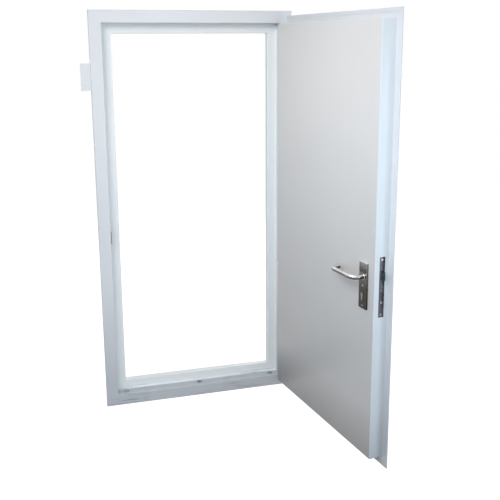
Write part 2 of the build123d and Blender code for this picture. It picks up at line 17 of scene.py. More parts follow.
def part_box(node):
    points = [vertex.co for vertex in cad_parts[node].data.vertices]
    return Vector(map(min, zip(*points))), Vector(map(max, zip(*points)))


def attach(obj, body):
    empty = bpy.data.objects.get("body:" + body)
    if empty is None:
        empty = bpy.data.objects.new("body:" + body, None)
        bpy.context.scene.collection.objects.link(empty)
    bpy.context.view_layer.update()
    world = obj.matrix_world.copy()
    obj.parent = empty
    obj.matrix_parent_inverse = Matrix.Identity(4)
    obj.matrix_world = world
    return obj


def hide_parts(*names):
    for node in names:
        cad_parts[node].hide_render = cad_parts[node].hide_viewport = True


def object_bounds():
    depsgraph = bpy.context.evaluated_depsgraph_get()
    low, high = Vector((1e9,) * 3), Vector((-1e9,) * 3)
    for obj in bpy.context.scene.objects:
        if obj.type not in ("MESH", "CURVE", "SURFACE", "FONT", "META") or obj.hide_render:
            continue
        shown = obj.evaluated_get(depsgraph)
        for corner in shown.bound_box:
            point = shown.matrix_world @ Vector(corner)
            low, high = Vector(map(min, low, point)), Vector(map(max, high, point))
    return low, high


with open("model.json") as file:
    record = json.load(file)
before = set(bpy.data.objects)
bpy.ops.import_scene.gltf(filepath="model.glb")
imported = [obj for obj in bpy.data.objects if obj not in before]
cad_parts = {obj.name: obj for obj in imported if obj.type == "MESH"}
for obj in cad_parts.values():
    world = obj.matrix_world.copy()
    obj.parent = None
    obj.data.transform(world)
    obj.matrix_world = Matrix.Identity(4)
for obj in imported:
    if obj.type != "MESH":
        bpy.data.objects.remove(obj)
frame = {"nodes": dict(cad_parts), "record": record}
nodes = frame["nodes"]
cad_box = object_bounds()
low, high = cad_box
print("pieces from the model:", len(nodes))
print("box of the door in metres:", [round(v, 3) for v in high - low])

# %% [markdown]
# ## Where the open leaf stands
#
# The model draws the leaf where it stands, open. Points on the leaf are easier to
# state on the closed door, where everything is square to the wall, so one matrix
# turns them about the hinge line. The record of the joints says how far the leaf is
# turned: the closed leaf is the lower end of the swing, and the open one is at zero.

# %% Find the hinge line and the turned leaf
joints = {joint["name"]: joint for joint in frame["record"]["behaviour"]["joints"]}
open_degrees = -min(joints["leaf_swing"]["range_deg"])
open_angle = math.radians(open_degrees)
hinge_sides = ("bottom", "middle", "top")
pin_low, pin_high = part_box("middle_hinge_pin")
hinge_line = (pin_low + pin_high) / 2
hinge_line.z = 0
open_leaf = (Matrix.Translation(hinge_line) @ Matrix.Rotation(open_angle, 4, "Z")
             @ Matrix.Translation(-hinge_line))
print("hinge line at", [round(v, 4) for v in hinge_line], "leaf open by", open_degrees, "degrees")

# %% [markdown]
# ## The camera
#
# The eye is near the top of the door and looks slightly down. A tilted camera makes
# upright edges lean, so part of the tilt is taken up by shifting the lens down, as an
# architect's camera does. The focal length is given in pixels of a 500 pixel wide
# picture and turned into millimetres for a 36 mm sensor. Angles are in radians.

# %% Set the camera
picture_width = 500
focal_pixels = 727.37
principal_row = 200
eye = Vector((-0.6185, -3.1919, 1.6437))
yaw = 0.2661
pitch = -0.2098
roll = -0.0060

forward = Vector((
    math.sin(yaw) * math.cos(pitch),
    math.cos(yaw) * math.cos(pitch),
    math.sin(pitch),
))
level_right = Vector((math.cos(yaw), -math.sin(yaw), 0))
level_up = level_right.cross(forward)
right = math.cos(roll) * level_right + math.sin(roll) * level_up
up = -math.sin(roll) * level_right + math.cos(roll) * level_up

lens = bpy.data.cameras.new("door_camera")
lens.sensor_width = 36
lens.lens = focal_pixels / picture_width * lens.sensor_width
lens.shift_y = (principal_row - picture_width / 2) / picture_width
camera = bpy.data.objects.new("door_camera", lens)
bpy.context.scene.collection.objects.link(camera)
turn = Matrix((right, up, -forward)).transposed()
camera.matrix_world = Matrix.Translation(eye) @ turn.to_4x4()
bpy.context.scene.camera = camera
print("lens in mm:", round(lens.lens, 2), "shift:", lens.shift_y)

# %% [markdown]
# ## Node helpers
#
# Every finish below is a small tree of shader nodes on top of one Principled shader.
# These helpers keep a tree down to a line for each node, so that the recipe of a
# finish can be read from top to bottom. Some also serve the geometry trees later on.

# %% Helpers for shader trees
def new_finish(name):
    """An empty material with its tree and its shader."""
    finish = bpy.data.materials.new(name)
    finish.use_nodes = True
    tree = finish.node_tree
    return finish, tree, tree.nodes["Principled BSDF"]


def feed(tree, socket, value):
    """Links an input to a socket, or sets it to a number, a vector or a colour."""
    if isinstance(value, bpy.types.NodeSocket):
        tree.links.new(value, socket)
    elif socket.type == "RGBA":
        socket.default_value = (*value, 1)
    else:
        socket.default_value = value


def object_axes(tree):
    """The place on the object, in metres."""
    return tree.nodes.new("ShaderNodeTexCoord").outputs["Object"]


def noise(tree, scale, detail=3.0, roughness=0.5, stretch=(1, 1, 1)):
    """A noise pattern on the object; a small stretch along an axis draws it out there."""
    mapping = tree.nodes.new("ShaderNodeMapping")
    mapping.inputs["Scale"].default_value = stretch
    tree.links.new(object_axes(tree), mapping.inputs["Vector"])
    cloud = tree.nodes.new("ShaderNodeTexNoise")
    cloud.inputs["Scale"].default_value = scale
    cloud.inputs["Detail"].default_value = detail
    cloud.inputs["Roughness"].default_value = roughness
    tree.links.new(mapping.outputs["Vector"], cloud.inputs["Vector"])
    return cloud.outputs["Fac"]


def ramp(tree, value, *stops):
    """A colour ramp through (position, colour) stops."""
    band = tree.nodes.new("ShaderNodeValToRGB")
    marks = band.color_ramp.elements
    while len(marks) < len(stops):
        marks.new(0.5)
    for mark, (position, colour) in zip(marks, stops):
        mark.position = position
        mark.color = (*colour, 1)
    tree.links.new(value, band.inputs["Fac"])
    return band.outputs["Color"]


def grey(value):
    """A colour without hue."""
    return (value, value, value)


def times(colour, factor):
    """A colour made darker or lighter."""
    return tuple(channel * factor for channel in colour)


def blend_colours(tree, share, first, second, mode="MIX"):
    """Mixes two colours; a plain colour or a socket will do for each."""
    mix = tree.nodes.new("ShaderNodeMix")
    mix.data_type = "RGBA"
    mix.blend_type = mode
    # A Mix node names its number, vector and colour inputs alike, so these go by place.
    share_place, first_place, second_place, result_place = 0, 6, 7, 2
    feed(tree, mix.inputs[share_place], share)
    feed(tree, mix.inputs[first_place], first)
    feed(tree, mix.inputs[second_place], second)
    return mix.outputs[result_place]


def arithmetic(tree, kind, first, second):
    """One sum of two numbers or sockets."""
    sum_node = tree.nodes.new("ShaderNodeMath")
    sum_node.operation = kind
    feed(tree, sum_node.inputs[0], first)
    feed(tree, sum_node.inputs[1], second)
    return sum_node.outputs[0]


def product(tree, first, second):
    """Two numbers or sockets multiplied, which also overlays two masks."""
    return arithmetic(tree, "MULTIPLY", first, second)


def bump(tree, shader, height, strength, distance):
    """Sends a height pattern into the shader's normal."""
    node = tree.nodes.new("ShaderNodeBump")
    node.inputs["Strength"].default_value = strength
    node.inputs["Distance"].default_value = distance
    tree.links.new(height, node.inputs["Height"])
    tree.links.new(node.outputs["Normal"], shader.inputs["Normal"])


def height_share(tree, bottom, top):
    """0 at one height of the object and 1 at another."""
    parts = tree.nodes.new("ShaderNodeSeparateXYZ")
    share = tree.nodes.new("ShaderNodeMapRange")
    share.inputs["From Min"].default_value = bottom
    share.inputs["From Max"].default_value = top
    tree.links.new(object_axes(tree), parts.inputs["Vector"])
    tree.links.new(parts.outputs["Z"], share.inputs["Value"])
    return share.outputs["Result"]


def beyond(tree, direction, distance):
    """1 where the object reaches further than a distance along a direction."""
    along = tree.nodes.new("ShaderNodeVectorMath")
    along.operation = "DOT_PRODUCT"
    along.inputs[1].default_value = direction
    tree.links.new(object_axes(tree), along.inputs[0])
    return arithmetic(tree, "GREATER_THAN", along.outputs["Value"], distance)


print("shader helpers ready")

# %% [markdown]
# ## Paint
#
# The frame and the leaf are sprayed with a white enamel. It is a little blue on the
# frame and on the leaf's outer skin and neutral on the leaf's inner face, and it has
# the fine orange peel of a spray gun.
#
# Three masks change it, each of its own, so that one can be changed alone:
# a painted shade that darkens the paint towards the floor, drawn-out scuffs where
# shoes pass, and small chips down to the grey primer. Scaling the coordinates of a
# noise along one axis is what turns round spots into streaks.
#
# Two places get a second colour that is painted light: the frame behind the shut leaf
# is painted lighter and keeps none of the painted shade, and the lock edge of the leaf is
# painted bluer than its face, as painted cool light. Each is a second colour beyond a
# distance along a direction.

# %% Make the paint
primer = (0.16, 0.17, 0.18)


def enamel(name, clean, shade_tone, shade_top, foot, scuff, scuff_full, scuff_top, scuff_share, streak,
           painted_light_zone=None, zone_shade_cut=0.0):
    """Sprayed enamel with painted shade towards the floor, scuffs low down and a few chips.

    The painted shade darkens the clean paint towards the floor. It is gone at its top
    height, and at the floor it is darker once more by foot. Scuffs are full below the height
    scuff_full, gone above scuff_top and at most scuff_share strong, and streak draws them out.
    A painted light zone is a (direction, distance, colour): a second colour beyond that
    distance, painted light. Its shade cut takes the painted shade off there: fully at 1, not at
    all at 0.
    """
    finish, tree, shader = new_finish(name)

    mottle = noise(tree, scale=2.2, detail=4)
    tone = ramp(tree, mottle, (0.3, times(clean, 0.965)), (0.7, clean))
    shade_share = 1.0
    # The zone beyond a distance gets a second colour that is painted light, and its share of the
    # painted shade is taken off there.
    if painted_light_zone:
        direction, distance, painted_light_colour = painted_light_zone
        in_painted_light_zone = beyond(tree, direction, distance)
        tone = blend_colours(tree, in_painted_light_zone, tone, painted_light_colour)
        shade_share = arithmetic(tree, "SUBTRACT", 1, product(tree, in_painted_light_zone, zone_shade_cut))
    wipes = noise(tree, scale=30, detail=3, roughness=0.6, stretch=streak)
    brushed = ramp(tree, wipes, (0.25, grey(0.985)), (0.75, grey(1)))
    tone = blend_colours(tree, 1.0, tone, brushed, "MULTIPLY")

    # Painted shade: the paint is darkest at the floor, lighter up to the top height, and clean
    # above it.
    painted_shade = ramp(tree, height_share(tree, 0, shade_top), (0.0, times(shade_tone, foot)), (0.2, shade_tone),
                (0.45, times(shade_tone, 1.12)), (1.0, grey(1)))
    tone = blend_colours(tree, shade_share, tone, painted_shade, "MULTIPLY")

    low_down = height_share(tree, scuff_top, scuff_full)
    strokes = noise(tree, scale=24, detail=7, roughness=0.68, stretch=streak)
    strokes = ramp(tree, strokes, (0.53, grey(0)), (0.62, grey(1)))
    patches = ramp(tree, noise(tree, scale=7, detail=3), (0.40, grey(0)), (0.62, grey(1)))
    scuffed = product(tree, product(tree, strokes, patches), low_down)
    tone = blend_colours(tree, product(tree, scuffed, scuff_share), tone, scuff)

    specks = noise(tree, scale=160, detail=3, roughness=0.6)
    chips = ramp(tree, specks, (0.735, grey(0)), (0.755, grey(0.8)))
    chips = product(tree, chips, low_down)
    tone = blend_colours(tree, chips, tone, primer)
    tree.links.new(tone, shader.inputs["Base Color"])

    dull = ramp(tree, noise(tree, scale=9, detail=4), (0.35, grey(0.34)), (0.7, grey(0.46)))
    dull = arithmetic(tree, "MAXIMUM", dull, product(tree, scuffed, 0.7))
    tree.links.new(dull, shader.inputs["Roughness"])
    shader.inputs["Coat Weight"].default_value = 0.12
    shader.inputs["Coat Roughness"].default_value = 0.15

    peel = noise(tree, scale=420, detail=2, roughness=0.4)
    waves = noise(tree, scale=5, detail=2, roughness=0.4)
    height = arithmetic(tree, "ADD", product(tree, waves, 2.5), peel)
    height = arithmetic(tree, "SUBTRACT", height, chips)
    bump(tree, shader, height, strength=0.12, distance=0.0006)
    return finish


into_doorway = (0, 1, 0)
leaf_rebate_depth = 0.035
# Painted light: the frame behind the shut leaf, in the rebate, is painted lighter and without
# painted shade.
behind_leaf_painted_light = (into_doorway, leaf_rebate_depth, (0.82, 0.865, 0.885))
# The frame gets painted shade in its lowest 0.6 m.
frame_enamel = enamel(
    "frame_enamel", clean=(0.70, 0.735, 0.775), shade_tone=(0.78, 0.79, 0.81), shade_top=0.60, foot=0.97,
    scuff=(0.20, 0.27, 0.31), scuff_full=0.055, scuff_top=0.066, scuff_share=0.95,
    streak=(0.22, 7, 7), painted_light_zone=behind_leaf_painted_light, zone_shade_cut=1)

toward_lock = Vector((-math.cos(open_angle), -math.sin(open_angle), 0))
edge_reach = max(toward_lock.dot(corner.co) for corner in nodes["leaf_inner_pan"].data.vertices)
edge_tint_depth = 0.0015
# Painted cool light: the lock edge of the leaf is painted bluer than its face, and part of its
# painted shade is taken off.
lock_edge_painted_cool_light = (toward_lock, edge_reach - edge_tint_depth, (0.65, 0.71, 0.755))
leaf_wear = {
    "scuff": grey(0.42), "scuff_full": 0.165, "scuff_top": 0.30, "scuff_share": 0.35,
    "streak": (1, 1, 0.12),
}
# The leaf's painted shade reaches up to 1.35 m and is darkest at the floor.
leaf_enamel = enamel(
    "leaf_enamel", clean=(0.70, 0.71, 0.72), shade_tone=grey(0.70), shade_top=1.35, foot=0.42,
    painted_light_zone=lock_edge_painted_cool_light, zone_shade_cut=0.35, **leaf_wear)
# The outer skin gets a milder painted shade towards the floor.
skin_enamel = enamel(
    "skin_enamel", clean=(0.66, 0.70, 0.75), shade_tone=grey(0.76), shade_top=0.9, foot=0.9, **leaf_wear)
print("paint finishes:", frame_enamel.name, leaf_enamel.name, skin_enamel.name)

# %% [markdown]
# The three screws in the sill were painted over with the frame, and every shoe has
# worn the paint on their heads since. Bare steel shines through the paint wherever a
# coarse noise is high.

# %% Make the worn paint of the sill screws
def worn_through(name, paint, steel):
    """Paint that is rubbed down to bare steel in patches."""
    finish, tree, shader = new_finish(name)
    patches = noise(tree, scale=150, detail=4, roughness=0.65)
    bare = ramp(tree, patches, (0.47, grey(0)), (0.56, grey(1)))
    tree.links.new(blend_colours(tree, bare, paint, steel), shader.inputs["Base Color"])
    tree.links.new(bare, shader.inputs["Metallic"])
    dull = ramp(tree, bare, (0.0, grey(0.45)), (1.0, grey(0.30)))
    tree.links.new(dull, shader.inputs["Roughness"])
    bump(tree, shader, product(tree, bare, -1), strength=0.4, distance=0.0004)
    return finish


worn_screw = worn_through("worn_screw", paint=(0.42, 0.48, 0.53), steel=(0.12, 0.13, 0.14))
print("worn paint:", worn_screw.name)

# %% [markdown]
# ## Bare metals
#
# Levers, plates and faceplate are polished stainless steel. Polished steel has little
# colour of its own, so the shader is fully metallic with a low roughness, and faint
# grinding lines stop it looking like glass. The upper side of a lever is painted bright,
# a painted highlight, and its underside dark, painted shade. The plates are painted a dark
# brown grey, a painted dark reflection, with a painted highlight along their top edge, and
# the faceplate is painted near black, a painted dark reflection too. The tones of levers
# and plates follow the height on the object, so they stay on the steel from whichever side it is
# seen.
# The latch is blackened steel, and the hidden parts of the lock are zinc plated.

# %% Make the metals
def ground_metal(name, stops, rough, grain_bump, grain=(1, 1, 1), side=None):
    """Metal with grinding lines; its tone follows a noise, or the share that side gives."""
    finish, tree, shader = new_finish(name)
    lines = noise(tree, scale=90, detail=3, roughness=0.6, stretch=grain)
    cloud = noise(tree, scale=42, detail=4, roughness=0.6, stretch=grain)
    tone = ramp(tree, side(tree) if side else cloud, *stops)
    if side:
        worn = ramp(tree, cloud, (0.40, grey(0.80)), (0.62, grey(1)))
        tone = blend_colours(tree, 1.0, tone, worn, "MULTIPLY")
    tree.links.new(tone, shader.inputs["Base Color"])
    polished, dull = rough
    shine = ramp(tree, lines, (0.3, grey(polished)), (0.7, grey(dull)))
    tree.links.new(shine, shader.inputs["Roughness"])
    shader.inputs["Metallic"].default_value = 1
    bump(tree, shader, lines, grain_bump, distance=0.0002)
    return finish


def upper_side(node):
    """1 on the upper side of a piece and 0 on its underside."""
    bottom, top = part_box(node)
    return lambda tree: height_share(tree, bottom.z, top.z)


def two_tones(dull, bright):
    """The stops of a metal that wanders between two tones."""
    return ((0.35, dull), (0.68, bright))


# Painted highlight on the lever's upper side and painted shade on its underside, by height.
lever_highlight_and_shade = (
    (0.30, (0.105, 0.093, 0.092)),
    (0.52, (0.16, 0.14, 0.14)),
    (0.68, (0.42, 0.38, 0.38)),
    (0.82, (0.95, 0.91, 0.90)),
)
# Painted dark reflection on the plates, darkest low down, and a painted highlight along the top
# edge.
plate_dark_reflection_and_highlight = (
    (0.10, (0.062, 0.054, 0.047)),
    (0.45, (0.080, 0.072, 0.062)),
    (0.62, (0.14, 0.13, 0.125)),
    (0.90, (0.23, 0.23, 0.225)),
    (0.980, (0.30, 0.30, 0.295)),
    (0.990, (0.95, 0.95, 0.95)),
)
# The faceplate is painted near black, a painted dark reflection.
faceplate_dark_reflection = two_tones((0.044, 0.040, 0.044), (0.095, 0.088, 0.095))
dark_tones = two_tones((0.06, 0.06, 0.065), (0.13, 0.13, 0.135))
nickel_tones = two_tones((0.16, 0.15, 0.13), (0.34, 0.32, 0.28))
latch_tones = two_tones((0.010, 0.014, 0.016), (0.045, 0.060, 0.068))

lever_steel = ground_metal("lever_steel", lever_highlight_and_shade, rough=(0.10, 0.20), grain_bump=0.03,
                           side=upper_side("lever_inner"))
plate_steel = ground_metal("plate_steel", plate_dark_reflection_and_highlight, rough=(0.14, 0.30), grain_bump=0.08,
                           grain=(1, 1, 5), side=upper_side("handle_plate_inner"))
strip_steel = ground_metal("strip_steel", faceplate_dark_reflection, rough=(0.20, 0.34), grain_bump=0.08,
                           grain=(1, 1, 0.3))
polished_steel = ground_metal("polished_steel", two_tones(grey(0.28), grey(0.50)),
                              rough=(0.14, 0.26), grain_bump=0.05)
dark_steel = ground_metal("dark_steel", dark_tones, rough=(0.26, 0.42), grain_bump=0.08,
                          grain=(1, 1, 4))
zinc_plate = ground_metal("zinc_plate", two_tones(grey(0.36), grey(0.50)),
                          rough=(0.28, 0.45), grain_bump=0.10)
nickel_plate = ground_metal("nickel_plate", nickel_tones, rough=(0.16, 0.28), grain_bump=0.05)
black_latch = ground_metal("black_latch", latch_tones, rough=(0.28, 0.48), grain_bump=0.10)
print("metals on the levers, plates and faceplate:",
      lever_steel.name, plate_steel.name, strip_steel.name)

# %% [markdown]
# ## Mineral wool
#
# The filling hides inside the leaf. It still gets a fibrous finish, because the model
# can be taken apart.

# %% Make the filling's finish
def fibre(name, light, dark):
    """Rough strands between two tones."""
    finish, tree, shader = new_finish(name)
    strands = noise(tree, scale=60, detail=8, roughness=0.7, stretch=(1, 1, 5))
    tree.links.new(ramp(tree, strands, (0.3, dark), (0.7, light)), shader.inputs["Base Color"])
    shader.inputs["Roughness"].default_value = 0.95
    bump(tree, shader, strands, strength=0.6, distance=0.004)
    return finish


mineral_wool = fibre("mineral_wool", light=(0.62, 0.56, 0.40), dark=(0.40, 0.34, 0.22))
print("filling finish:", mineral_wool.name)

# %% [markdown]
# ## Who wears what
#
# Each piece of the model names a slot, such as paint or stainless steel, and each slot
# gets one finish. A few pieces then get a finish of their own.

# %% Dress the pieces of the model
finish_of_slot = {
    "frame_paint": frame_enamel,
    "leaf_paint": leaf_enamel,
    "stainless": polished_steel,
    "dark_steel": dark_steel,
    "zinc_steel": zinc_plate,
    "nickel": nickel_plate,
    "wool": mineral_wool,
    "black_steel": black_latch,
}
own_finish = {
    "leaf_outer_skin": skin_enamel,
    "handle_plate_inner": plate_steel,
    "handle_plate_outer": plate_steel,
    "dog_pins": dark_steel,
    "lever_inner": lever_steel,
    "lever_outer": lever_steel,
    "lock_faceplate": strip_steel,
    **{side + "_hinge_leaf_knuckle": skin_enamel for side in hinge_sides},
    **{side + "_sill_screw": worn_screw for side in ("left", "middle", "right")},
}
slot_of_node = {part["node"]: part["material_slot"] for part in frame["record"]["subparts"]}


def dress(name, finish):
    """Puts one finish on every material slot of a piece."""
    piece = nodes[name]
    if not piece.material_slots:
        piece.data.materials.append(finish)
    for place in piece.material_slots:
        place.material = finish


for name in nodes:
    dress(name, own_finish.get(name, finish_of_slot[slot_of_node[name]]))
print("dressed pieces:", len(nodes), "of which with a finish of their own:", len(own_finish))

# %% [markdown]
# ## What repeats: screw heads, collars and weld ripples
#
# A fitter repeats the same small thing many times: a screw head, a collar, the ripples
# of a weld. Geometry Nodes suit that well. The tree holds one master shape and copies
# it to every point, so a change to the master changes them all. The sizes are named
# inputs of the tree. A modifier's input is set by the identifier of its socket.
# At the end the result is turned into a plain mesh, which any program can read.

# %% Helpers for geometry trees
MM = 0.001


def geometry_tree(name, sizes):
    """A tree with a geometry in, a geometry out and one number socket for each size."""
    tree = bpy.data.node_groups.new(name, "GeometryNodeTree")
    for direction in ("INPUT", "OUTPUT"):
        tree.interface.new_socket("Geometry", in_out=direction, socket_type="NodeSocketGeometry")
    for size in sizes:
        tree.interface.new_socket(size, in_out="INPUT", socket_type="NodeSocketFloat")
    return tree, tree.nodes.new("NodeGroupInput"), tree.nodes.new("NodeGroupOutput")


def put(tree, kind, links=(), **settings):
    """A node with its settings, and with (input, value or socket) pairs wired up."""
    node = tree.nodes.new(kind)
    for key, value in settings.items():
        setattr(node, key, value)
    for key, value in links:
        feed(tree, node.inputs[key], value)
    return node


def end_tree(tree, out, geometry, finish):
    """Makes the copies real, gives them their finish and sends them out."""
    real = put(tree, "GeometryNodeRealizeInstances", [("Geometry", geometry)])
    dressed = put(tree, "GeometryNodeSetMaterial",
                  [("Geometry", real.outputs[0]), ("Material", finish)])
    tree.links.new(dressed.outputs[0], out.inputs[0])


def grow(name, carrier_data, tree, sizes, body):
    """Runs a tree on a carrier and keeps its result as a plain mesh on a body."""
    carrier = bpy.data.objects.new(name + "_carrier", carrier_data)
    bpy.context.scene.collection.objects.link(carrier)
    grower = carrier.modifiers.new("grow", "NODES")
    grower.node_group = tree
    for socket in tree.interface.items_tree:
        if socket.in_out == "INPUT" and socket.name in sizes:
            grower[socket.identifier] = sizes[socket.name]
    view = bpy.context.evaluated_depsgraph_get()
    mesh = bpy.data.meshes.new_from_object(carrier.evaluated_get(view))
    piece = bpy.data.objects.new(name, mesh)
    bpy.context.scene.collection.objects.link(piece)
    bpy.data.objects.remove(carrier)
    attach(piece, body)
    print(name, "has", len(mesh.polygons), "faces and rides on", body)
    return piece


print("geometry helpers ready")

# %% [markdown]
# ## Screw heads
#
# The model has plain discs for the screws of the faceplate and the handle plates. The
# real heads carry a cross for the driver. A disc minus two crossed bars gives one head,
# by a Boolean inside the tree, and each copy is turned by its own random angle, because
# a fitter stops where the screw is tight.

# %% Build the tree for copies on points
def points_mesh(name, places):
    """A mesh of loose points; each keeps the direction it faces as an attribute."""
    mesh = bpy.data.meshes.new(name)
    mesh.from_pydata([place for place, _ in places], [], [])
    facing = mesh.attributes.new("facing", "FLOAT_VECTOR", "POINT")
    for value, (_, direction) in zip(facing.data, places):
        value.vector = direction
    return mesh


def copies_on_points(tree, group_in, master, turn_seed):
    """Stands a copy of the master on every point, facing its way, at a random turn."""
    facing = put(tree, "GeometryNodeInputNamedAttribute",
                 [("Name", "facing")], data_type="FLOAT_VECTOR")
    aim = put(tree, "FunctionNodeAlignRotationToVector",
              [("Vector", facing.outputs["Attribute"])], axis="Z")
    # A Random Value node names its inputs for vectors and numbers alike, so these go by
    # place: input 3 is the largest number, and output 1 is the number drawn.
    chance = put(tree, "FunctionNodeRandomValue", [("Seed", turn_seed), (3, math.tau)],
                 data_type="FLOAT")
    spin = put(tree, "FunctionNodeAxisAngleToRotation",
               [("Axis", (0, 0, 1)), ("Angle", chance.outputs[1])])
    aimed = put(tree, "FunctionNodeRotateRotation",
                [("Rotation", aim.outputs[0]), ("Rotate By", spin.outputs[0])],
                rotation_space="LOCAL")
    copies = put(tree, "GeometryNodeInstanceOnPoints",
                 [("Points", group_in.outputs["Geometry"]), ("Instance", master),
                  ("Rotation", aimed.outputs[0])])
    return copies.outputs[0]


def screw_tree(finish, turn_seed):
    """A disc with a cross cut into its top."""
    tree, group_in, group_out = geometry_tree(
        "screw_heads", ("Head Radius", "Head Depth", "Cross Length", "Cross Width", "Cross Depth"))
    size = group_in.outputs
    disc = put(tree, "GeometryNodeMeshCylinder",
               [("Vertices", 32), ("Radius", size["Head Radius"]), ("Depth", size["Head Depth"])])
    sink = product(tree, size["Head Depth"], -0.5)
    lower = put(tree, "ShaderNodeCombineXYZ", [("Z", sink)])
    disc = put(tree, "GeometryNodeTransform",
               [("Geometry", disc.outputs["Mesh"]), ("Translation", lower.outputs[0])])
    deep = product(tree, size["Cross Depth"], 2)
    cut = put(tree, "GeometryNodeMeshBoolean",
              [("Mesh 1", disc.outputs[0])], operation="DIFFERENCE")
    for along_x, along_y in (("Cross Length", "Cross Width"), ("Cross Width", "Cross Length")):
        bar_size = put(tree, "ShaderNodeCombineXYZ",
                       [("X", size[along_x]), ("Y", size[along_y]), ("Z", deep)])
        bar = put(tree, "GeometryNodeMeshCube", [("Size", bar_size.outputs[0])])
        tree.links.new(bar.outputs["Mesh"], cut.inputs["Mesh 2"])
    heads = copies_on_points(tree, group_in, cut.outputs[0], turn_seed)
    end_tree(tree, group_out, heads, finish)
    return tree


screw_heads = screw_tree(polished_steel, turn_seed=4)
print("tree ready:", screw_heads.name)

# %% [markdown]
# The places are those of the screws in the model, in metres on the closed door. The
# cross is given as shares of the head, so that it suits both sizes of screw. The new
# heads replace the plain discs.

# %% Drive the screws of the faceplate and the handle plates
spindle_x = -0.321
lock_plane_y = 0.0115
lock_edge_x = -0.386
inner_plate_y = 0.0525
outer_plate_y = -0.0255
plate_screw_z = (0.674, 0.753, 0.834)
faceplate_screw_z = (0.651, 0.866)
cylinder_screw_z = 0.699
cylinder_screw_sink = 0.8 * MM
toward_stop = (0, 1, 0)
toward_wall = (0, -1, 0)
toward_keep = (-1, 0, 0)
cross_length_share = 1.15
cross_width_share = 0.30
cross_depth_share = 0.65


def on_open_leaf(places):
    """Turns places and directions from the closed door to the open leaf."""
    turn_only = open_leaf.to_3x3()
    return [(open_leaf @ Vector(place), turn_only @ Vector(direction))
            for place, direction in places]


def screws(node, places, radius, depth):
    """Cross-head screws in place of one screw node of the model."""
    sizes = {
        "Head Radius": radius,
        "Head Depth": depth,
        "Cross Length": radius * cross_length_share,
        "Cross Width": radius * cross_width_share,
        "Cross Depth": depth * cross_depth_share,
    }
    carrier = points_mesh(node + "_places", on_open_leaf(places))
    heads = grow(node + "_heads", carrier, screw_heads, sizes, "leaf")
    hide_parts(node)


edge_screws = [((lock_edge_x, lock_plane_y, z), toward_keep) for z in faceplate_screw_z]
edge_screws.append(
    ((lock_edge_x - cylinder_screw_sink, lock_plane_y, cylinder_screw_z), toward_keep))
screws("faceplate_screws", edge_screws, radius=4.4 * MM, depth=1.8 * MM)
for node, plate_y, facing in (("plate_screws_inner", inner_plate_y, toward_stop),
                              ("plate_screws_outer", outer_plate_y, toward_wall)):
    screws(node, [((spindle_x, plate_y, z), facing) for z in plate_screw_z],
           radius=4.0 * MM, depth=2.0 * MM)

# %% [markdown]
# ## Collars round the lever necks
#
# Where a lever enters its plate, a rounded steel ring covers the gap. A circle swept
# round a larger circle makes it, with half of the ring sunk into the plate.

# %% Make the collars
def collar_tree(finish, turn_seed):
    """A round ring, made by sweeping a small circle along a large one."""
    tree, group_in, group_out = geometry_tree("collars", ("Ring Radius", "Ring Thickness"))
    path = put(tree, "GeometryNodeCurvePrimitiveCircle",
               [("Resolution", 48), ("Radius", group_in.outputs["Ring Radius"])])
    section = put(tree, "GeometryNodeCurvePrimitiveCircle",
                  [("Resolution", 12), ("Radius", group_in.outputs["Ring Thickness"])])
    ring = put(tree, "GeometryNodeCurveToMesh",
               [("Curve", path.outputs["Curve"]), ("Profile Curve", section.outputs["Curve"])])
    smooth = put(tree, "GeometryNodeSetShadeSmooth", [("Geometry", ring.outputs[0])])
    rings = copies_on_points(tree, group_in, smooth.outputs[0], turn_seed)
    end_tree(tree, group_out, rings, finish)
    return tree


spindle_z = 0.789
collars = points_mesh("collar_places", on_open_leaf([
    ((spindle_x, inner_plate_y, spindle_z), toward_stop),
    ((spindle_x, outer_plate_y, spindle_z), toward_wall),
]))
grow("lever_collars", collars, collar_tree(polished_steel, turn_seed=1),
     {"Ring Radius": 11.5 * MM, "Ring Thickness": 1.5 * MM}, "leaf")

# %% [markdown]
# ## Weld beads
#
# The hinge wings, the fixing lug and the boxes behind the strike are welded on and then
# painted over. A hand weld is a row of overlapping drops. The tree walks along a curve,
# sets a small ball at every step and varies the size of each a little. Only the curves
# say where the welds run.

# %% Build the weld tree
def weld_tree(name, finish, size_seed=11):
    """Overlapping drops along a curve."""
    tree, group_in, group_out = geometry_tree(name, ("Drop Radius", "Step"))
    size = group_in.outputs
    walk = put(tree, "GeometryNodeCurveToPoints",
               [("Curve", size["Geometry"]), ("Length", size["Step"])], mode="LENGTH")
    drop = put(tree, "GeometryNodeMeshIcoSphere",
               [("Radius", size["Drop Radius"]), ("Subdivisions", 2)])
    smooth = put(tree, "GeometryNodeSetShadeSmooth", [("Geometry", drop.outputs["Mesh"])])
    # Inputs 0 and 1 of a Random Value node are the smallest and the largest vector.
    smallest, largest = (0.85, 0.85, 0.75), (1.12, 1.12, 0.95)
    varied = put(tree, "FunctionNodeRandomValue",
                 [(0, smallest), (1, largest), ("Seed", size_seed)], data_type="FLOAT_VECTOR")
    row = put(tree, "GeometryNodeInstanceOnPoints",
              [("Points", walk.outputs["Points"]), ("Instance", smooth.outputs[0]),
               ("Rotation", walk.outputs["Rotation"]), ("Scale", varied.outputs[0])])
    end_tree(tree, group_out, row.outputs[0], finish)
    return tree


def weld_curve(name, paths):
    """One curve object data with a straight-sided spline for each path."""
    curve = bpy.data.curves.new(name, "CURVE")
    curve.dimensions = "3D"
    for path in paths:
        line = curve.splines.new("POLY")
        line.points.add(len(path) - 1)
        for point, place in zip(line.points, path):
            point.co = (*place, 1)
    return curve


bead = {"Drop Radius": 1.5 * MM, "Step": 1.7 * MM}
print("weld step in mm:", bead["Step"] / MM)

# %% [markdown]
# On the frame, each hinge wing is welded along its three free edges, the lug along its
# one edge on the jamb, and each box behind the strike all the way round.

